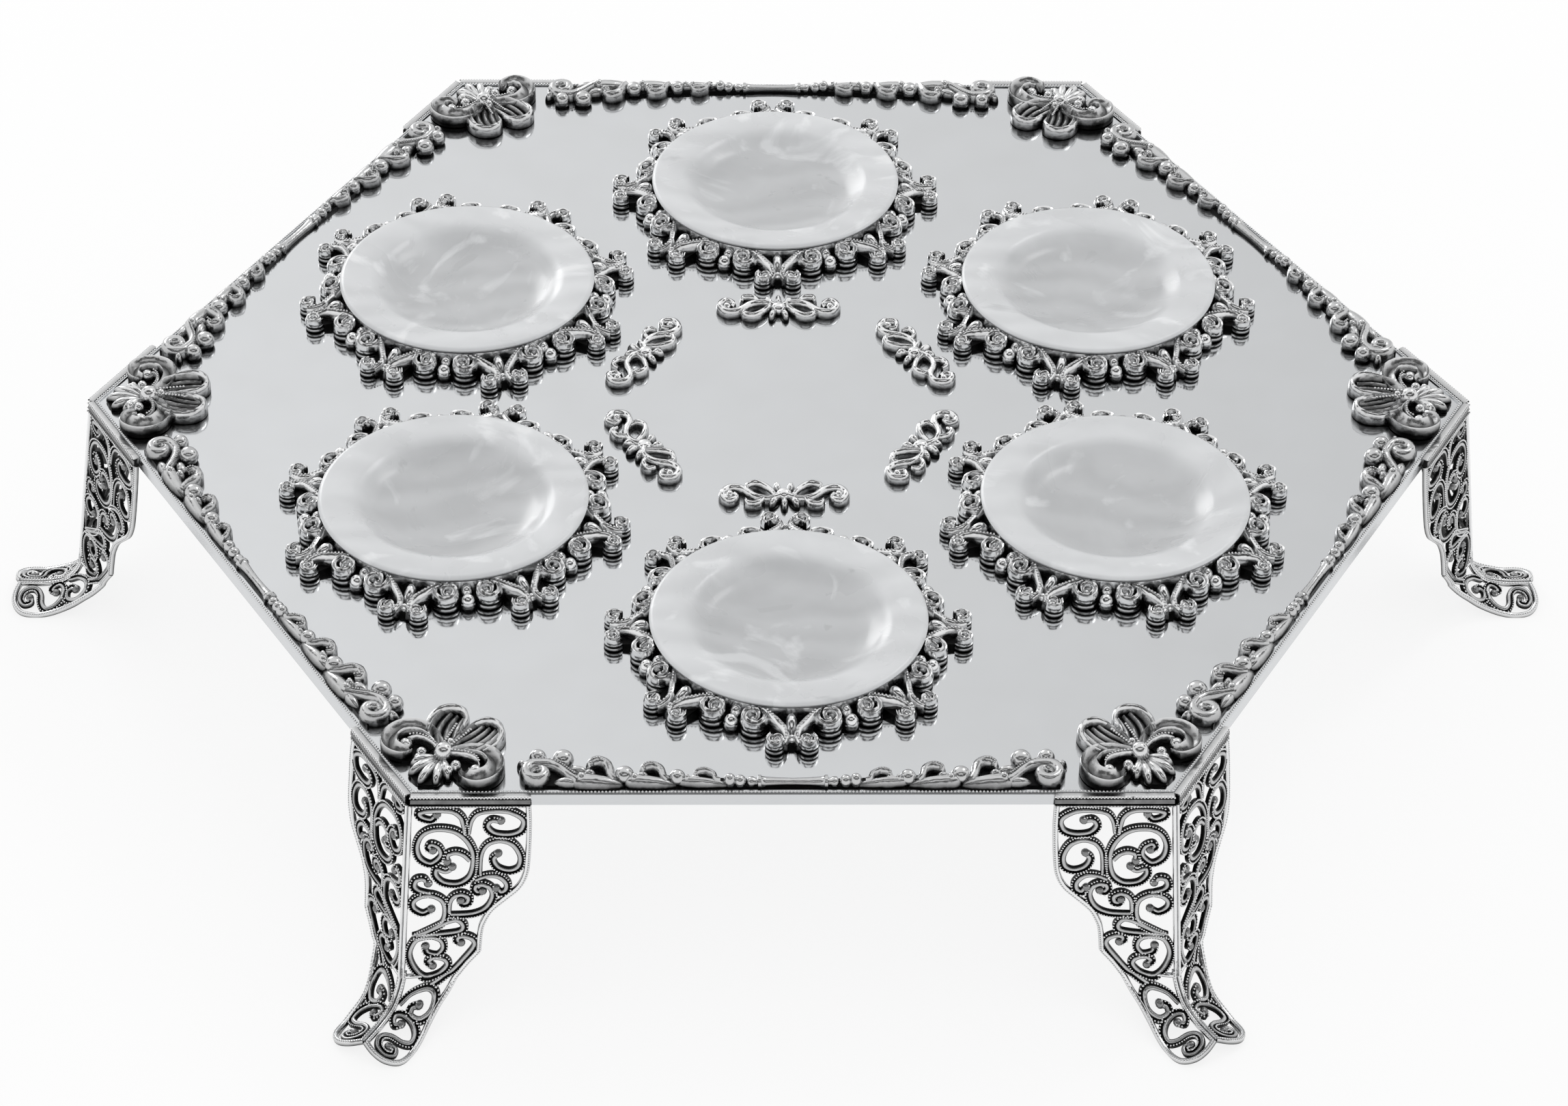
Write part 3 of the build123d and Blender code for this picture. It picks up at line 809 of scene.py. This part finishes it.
# a dark ground strip under the border, painted shade between the pieces and along the rim
plate_of(border, [on_edge(along, inward, 1) for along, inward in strip], 1.0)
for way in (-1, 1):
    tail = [(59.2, 1.6), (61.6, 3.8), (64.2, 6.6), (67, 8.4)]
    disc = tail + curl(70.4, 4.8, 4.0, start=110, turns=-1.35, tight=0.2)
    points = [on_edge(along, inward, way) for along, inward in disc]
    path = scroll(border, points, 3.4, 4.2, start=0.75, end=0.5, steps=3)
    beads(border, path[2:15], 0.8, 0.36, 3.6, aside=-way * 0.8)
    ball(border, *on_edge(70.4, 11.4, way), 2.5, 4.6)
    ball(border, *on_edge(63.4, 10.8, way), 3.0, 4.8)
    leaf(border, on_edge(73, 7.4, way), on_edge(76, 9.8, way), 2.6, 3.4, fat=0.5)
    leaf(border, on_edge(66.4, 2.2, way), on_edge(58.6, 1.7, way), 3.4, 3.0)
    leaf(border, on_edge(63, 7.4, way), on_edge(56, 5.4, way), 3.6, 3.4)
    for head, depth, size in ((60.6, 8.0, 1.0), (46, 6.2, 0.84), (31.6, 4.2, 0.64)):
        root, tip = on_edge(head + 0.6, 2.4, way), on_edge(head - 14.6, 1.3, way)
        leaf(border, root, tip, 5.4 * size, 2 + 1.8 * size, fat=0.3)
        horn = [(-11.6, 1.8), (-10.4, depth * 0.5), (-9.4, depth * 0.95), (-7, depth + 1.2),
            (-4.8, depth + 0.2), (-5.2, depth - 1.6)]
        points = [on_edge(head + step, inward, way) for step, inward in horn]
        crest = 3 + 1.4 * size
        path = scroll(border, points, 3.2 * size, crest, start=0.6)
        beads(border, path[8:], 0.8, 0.36, crest - 0.2)
        ball(border, *on_edge(head - 2.4, 2.4, way), 1.7 * size, crest)
        ball(border, *on_edge(head - 14.2, depth * 0.55, way), 2.8 * size, crest)
        root, tip = on_edge(head - 2, depth * 0.55, way), on_edge(head - 6.6, depth * 0.6, way)
        leaf(border, root, tip, 3.0 * size, 3.6)
    ball(border, *on_edge(14.6, 2.4, way), 1.8, 3.2)
spindle = bmesh.new()
half_profile = [(0, 1.15), (4, 1.25), (7.4, 1.5), (8.6, 1.7), (8.8, 2.0), (9.6, 2.0), (9.9, 1.2),
    (10.4, 1.2), (11, 1.6)]
half_profile += [(12, 1.6), (12.6, 0.96), (12.8, 0)]
profile = [(-along, radius) for along, radius in reversed(half_profile[1:])] + half_profile
axis_x, axis_z = border_base - 2.4, 1.0
turned = [(axis_x + radius, along, axis_z) for along, radius in profile]
lathe(spindle, turned, (axis_x, 0, axis_z), (0, 1, 0), 16)
trim(spindle)
# painted shade on the lower part of the spindle
darken_low(spindle, 0.0, 1.8)
gather(border, spindle)
darken_whole(border, BORDER_DARKENING)
bmesh.ops.translate(border, vec=UP * plate_top, verts=border.verts)
set_out(border, "border_scrolls_{}", 30, silver, stands_for=["border_strip_{}"])

# %% [markdown]
# Beside each dish lies a small raised flourish: two leaf scrolls that spring from a knot.

# %% Flourishes
flourish = bmesh.new()
flourish_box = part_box("flourish_2")
flourish_pitch = (flourish_box[0][1] + flourish_box[1][1]) * 500
for way in (-1, 1):
    for stem, width in (
        ([(0, 0), (4, 2.4), (8.5, 1.6), (12.5, -2.0), (16.2, -2.6), (18.4, 0.4), (16.6, 3.4), (14.2, 2.0),
            (14.8, 0)], 2.4),
        ([(2.6, 1.2), (4.6, -2.2), (8, -4.8), (11, -3.6), (10.6, -1.2)], 2.0),
        ([(6, 2.2), (7.8, 4.8), (10.8, 5.0), (11.6, 2.8)], 1.9),
    ):
        points = [(flourish_pitch + out, way * along) for along, out in stem]
        scroll(flourish, points, width, 3.4)
    leaf(flourish, (flourish_pitch + 1, way * 1.4), (flourish_pitch + 5.2, way * 4.4), 2.4, 3.2)
    leaf(flourish, (flourish_pitch - 1, way * 1.2), (flourish_pitch - 5.4, way * 2.6), 2.4, 3.2)
    ball(flourish, flourish_pitch + 0.4, way * 16.2, 1.3, 3.4)
ball(flourish, flourish_pitch, 0, 2.4, 3.6)
leaf(flourish, (flourish_pitch + 1, 0), (flourish_pitch + 6.4, 0), 2.4, 3.4)
bmesh.ops.translate(flourish, vec=UP * plate_top, verts=flourish.verts)
set_out(flourish, "leaf_flourish_{}", 30, silver, stands_for=["flourish_{}"])

# %% [markdown]
# The rim is a plain strip with a milgrain line along its top, so its solid stays and only the beads are
# added.

# %% Rim beading
rim = bmesh.new()
half_row = side / 2 - 0.6
rim_middle = edge_apothem - 0.7
beads(rim, [Vector((rim_middle, -half_row, 0)), Vector((rim_middle, half_row, 0))], 1.0, 0.42, -0.05)
bmesh.ops.translate(rim, vec=UP * rail_top, verts=rim.verts)
set_out(rim, "rim_beading_{}", 30, silver)

# %% [markdown]
# The plain solids that stay, the mirror sheet and the rim strips, only need their finish.

# %% Finish of the solids that stay
for name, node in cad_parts.items():
    if name == "top_plate" or name.startswith("rim_strip"):
        node.data.materials.clear()
        node.data.materials.append(mirror if name == "top_plate" else plain_silver)
print("finished the plain solids")

# %% [markdown]
# A pale floor that looks white to the camera and in reflections but still takes the shadow: part of its light
# is its own. The world is white to the camera and in reflections too, and dimmer where it lights the object.

# %% Floor and world
floor_finish = Finish(bpy.data.materials.new("studio_floor"))
paper = floor_finish.node("ShaderNodeBsdfDiffuse", {}, {"Color": grey(0.92)})
glow = floor_finish.node("ShaderNodeEmission", {}, {"Color": grey(1.0), "Strength": 1.04})
blend = floor_finish.node("ShaderNodeMixShader", {}, {0: floor_finish.seen() * 0.8, 1: paper, 2: glow})
floor_finish.surface(blend)
sheet = bmesh.new()
bmesh.ops.create_grid(sheet, x_segments=1, y_segments=1, size=6)
floor_mesh = bpy.data.meshes.new("floor")
sheet.to_mesh(floor_mesh)
sheet.free()
floor_mesh.materials.append(floor_finish.owner)
floor = bpy.data.objects.new("floor", floor_mesh)
bpy.context.collection.objects.link(floor)

world = bpy.data.worlds.new("studio")
bpy.context.scene.world = world
sky = Finish(world)
strength = 0.75 + sky.seen() * 0.25
dome = sky.node("ShaderNodeBackground", {}, {"Color": grey(1.0), "Strength": strength})
sky.node("ShaderNodeOutputWorld", {}, {"Surface": dome})
print("made the floor and the world")

# %% [markdown]
# Two soft boxes, left behind and right, give the dishes their window-shaped glints. Dark cards in front,
# behind and overhead, that only reflections see, put black edges on the silver, which is how a studio keeps
# polished metal from looking like white plastic. The front cards hang high, so that the mirror stays bright
# when the tray is seen from behind.


# %% Lights and cards
def soft_box(name, spot, size, power):
    lamp = bpy.data.lights.new(name, "AREA")
    lamp.shape = "RECTANGLE"
    lamp.size, lamp.size_y = size
    lamp.energy = power
    holder = bpy.data.objects.new(name, lamp)
    bpy.context.collection.objects.link(holder)
    holder.location = spot
    holder.rotation_euler = (Vector((0, 0, 0.06)) - Vector(spot)).to_track_quat("-Z", "Y").to_euler()


soft_box("left_box", (-0.95, 1.75, 0.75), (0.6, 0.95), 7)
soft_box("right_box", (0.8, 0.7, 1.45), (0.35, 0.45), 2)
card_finish = Finish(bpy.data.materials.new("dark_card"))
card_paint = card_finish.node("ShaderNodeBsdfDiffuse", {}, {"Color": grey(0.02)})
card_finish.surface(card_paint)
cards = bmesh.new()
front_cards = [(angle, 1.8, 0.6, 1.0) for angle in (-145, -90, -35)]
back_cards = [(angle, 1.2, 0.35, 0.33) for angle in (28, 152)]
for angle, level, tall, wide in front_cards + back_cards:
    aim = Matrix.Rotation(radians(angle), 4, "Z") @ Matrix.Translation((2, 0, level))
    turn = aim @ Matrix.Rotation(pi / 2, 4, "Y") @ Matrix.Diagonal((tall, wide, 1, 1))
    bmesh.ops.create_grid(cards, x_segments=1, y_segments=1, size=1, matrix=turn)
shape = Matrix.Translation((0, -0.8, 2.4)) @ Matrix.Diagonal((1.5, 0.4, 1, 1))
bmesh.ops.create_grid(cards, x_segments=1, y_segments=1, size=1, matrix=shape)
card_mesh = bpy.data.meshes.new("cards")
cards.to_mesh(card_mesh)
cards.free()
card_mesh.materials.append(card_finish.owner)
card = bpy.data.objects.new("cards", card_mesh)
bpy.context.collection.objects.link(card)
print("made two soft boxes and", len(card_mesh.polygons), "dark cards")

# %% [markdown]
# A mirror shows what stands behind it. A backdrop that fades from white to light grey, left to right, gives
# the tray its slow change of tone. Like the cards, it is seen in reflections only and casts no shadow.

# %% Backdrop
backdrop_finish = Finish(bpy.data.materials.new("backdrop"))
place = backdrop_finish.place()
across = backdrop_finish.node("ShaderNodeSeparateXYZ", {}, {"Vector": place})
fade = backdrop_finish.ramp(across * 0.55 + 0.5, (0.0, grey(1.0)), (1.0, grey(0.76)))
glow = backdrop_finish.node("ShaderNodeEmission", {}, {"Color": fade})
backdrop_finish.surface(glow)
screen = bmesh.new()
upright = Matrix.Translation((0, 3, 2.2)) @ Matrix.Rotation(pi / 2, 4, "X")
bmesh.ops.create_grid(screen, x_segments=1, y_segments=1, size=2.2, matrix=upright)
backdrop_mesh = bpy.data.meshes.new("backdrop")
screen.to_mesh(backdrop_mesh)
screen.free()
backdrop_mesh.materials.append(backdrop_finish.owner)
backdrop = bpy.data.objects.new("backdrop", backdrop_mesh)
bpy.context.collection.objects.link(backdrop)
for stand_in in (card, backdrop):
    stand_in.visible_camera = False
    stand_in.visible_diffuse = False
    stand_in.visible_shadow = False
print("made the backdrop")

# %% [markdown]
# The camera looks down at the front edge from a little over a metre away, with a long lens.

# %% Camera
eye_data = bpy.data.cameras.new("camera")
eye_data.sensor_fit = "HORIZONTAL"
eye_data.sensor_width = 36
eye_data.lens = 104.1
eye_data.clip_end = 50
camera = bpy.data.objects.new("camera", eye_data)
camera.location = (-0.0325, -1.1213, 0.8969)
camera.rotation_euler = (0.90534, -0.01523, -0.01858)
bpy.context.collection.objects.link(camera)
bpy.context.scene.camera = camera
bpy.context.scene.view_settings.view_transform = "Standard"
print("camera at", tuple(camera.location))
